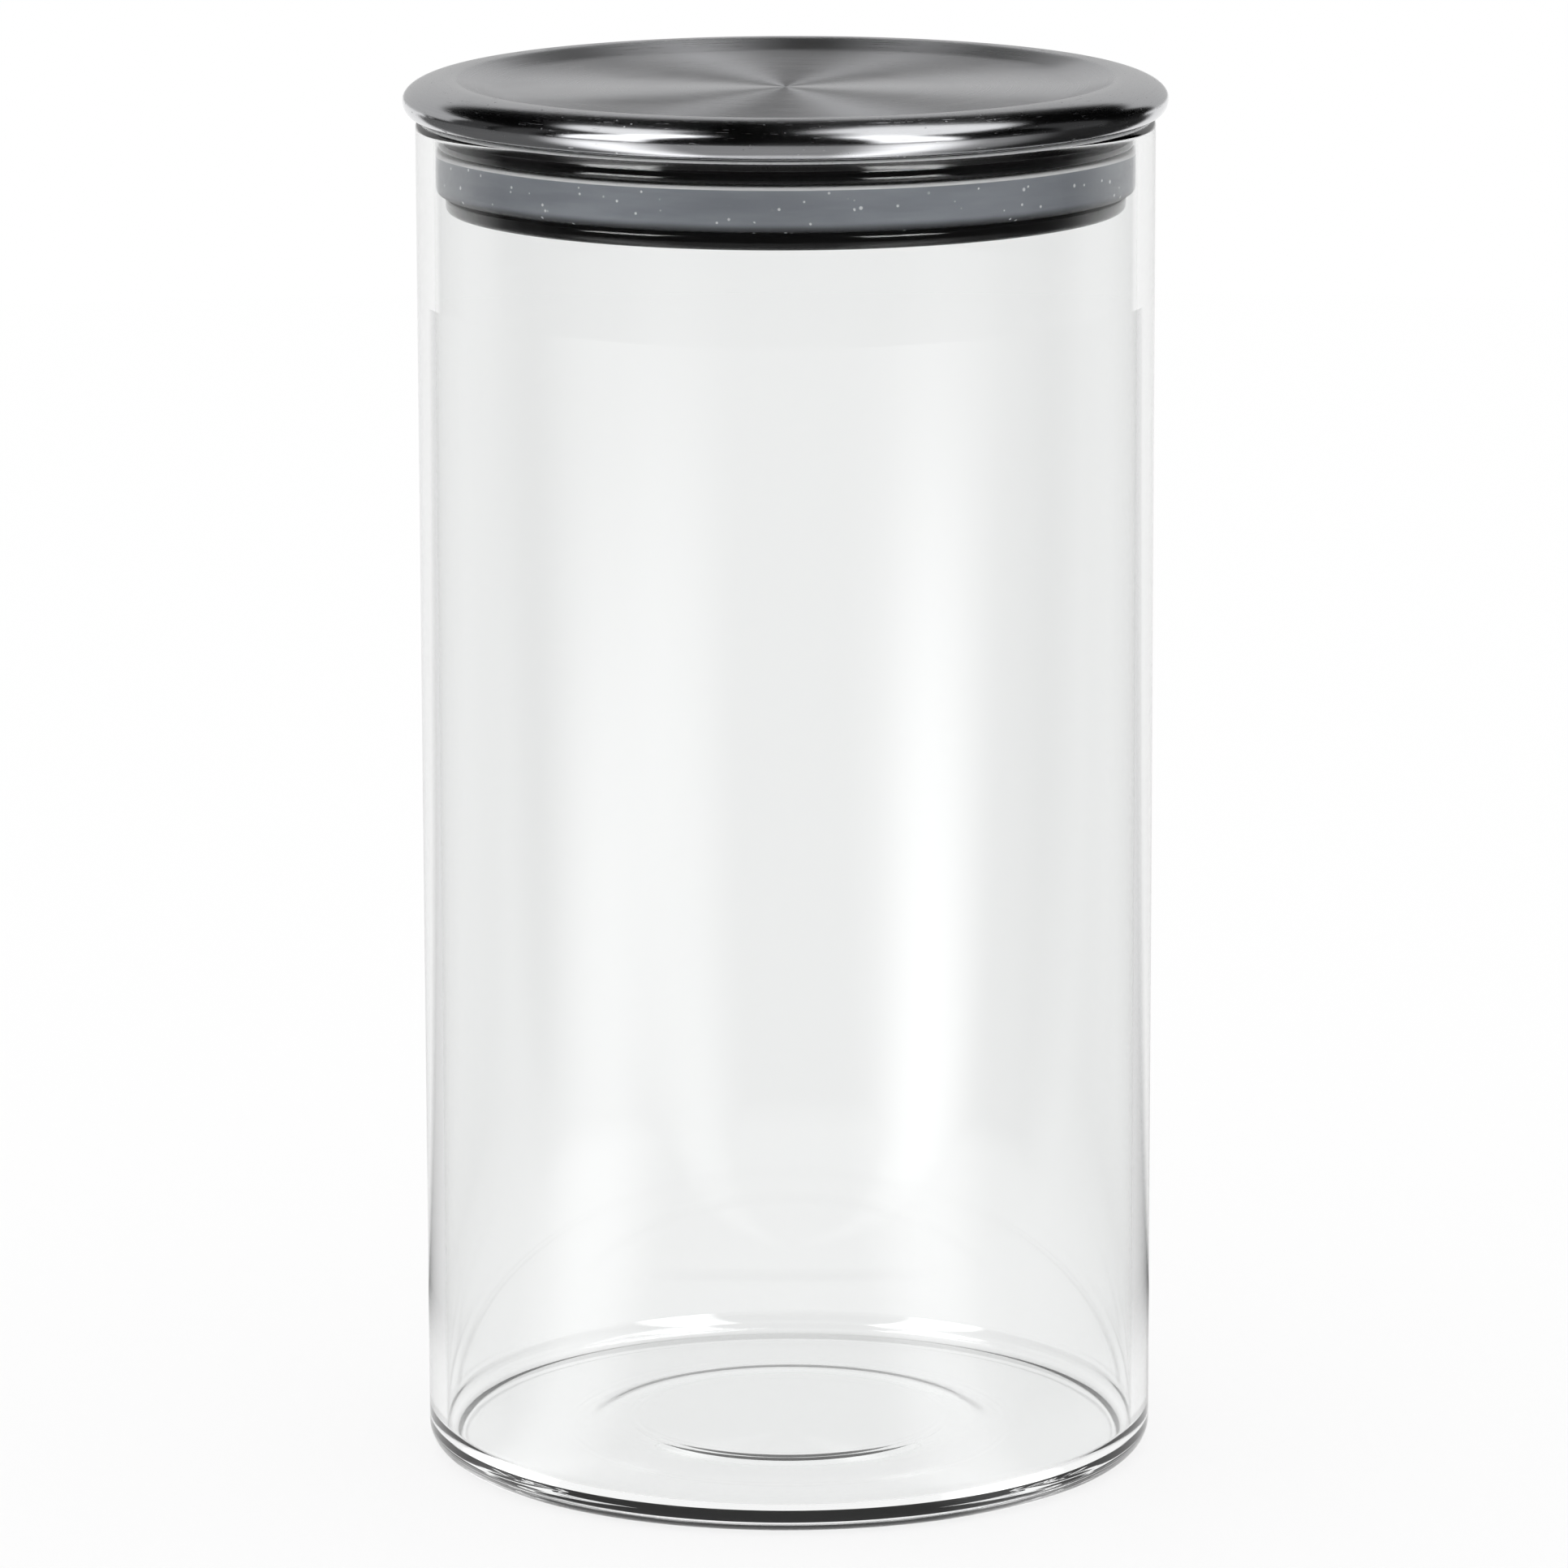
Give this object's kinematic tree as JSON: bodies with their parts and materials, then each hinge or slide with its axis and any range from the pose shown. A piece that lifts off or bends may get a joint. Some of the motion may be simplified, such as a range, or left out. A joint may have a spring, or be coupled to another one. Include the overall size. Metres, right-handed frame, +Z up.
{
  "type": "lidded glass canister",
  "caption": "Straight round glass jar with a lift-off stopper lid: steel cover with a brushed disc and rolled rim, black moulded plug and grey silicone seal.",
  "frame": {"origin": "on the jar's axis, in the plane that its base rests on", "axes": "+Z up along the jar's axis of revolution; +X and +Y are free, because every piece is round"},
  "size_m": [0.1034, 0.1034, 0.19],
  "materials": {
    "glass": "clear, fire-polished",
    "steel": "circular brushed disc in a mirror-polished rim",
    "black_plastic": "glossy black",
    "silicone": "translucent grey, satin"
  },
  "bodies": {
    "jar": {"glass_jar": "glass"},
    "lid": {"lid_cover": "steel", "lid_carrier": "black_plastic", "lid_base_plate": "black_plastic", "seal_ring": "silicone"}
  },
  "joints": [
    {"name": "lid_lift", "type": "slide", "parent": "jar", "child": "lid", "axis": [0, 0, 1], "range_m": [0, 0.12]}
  ]
}
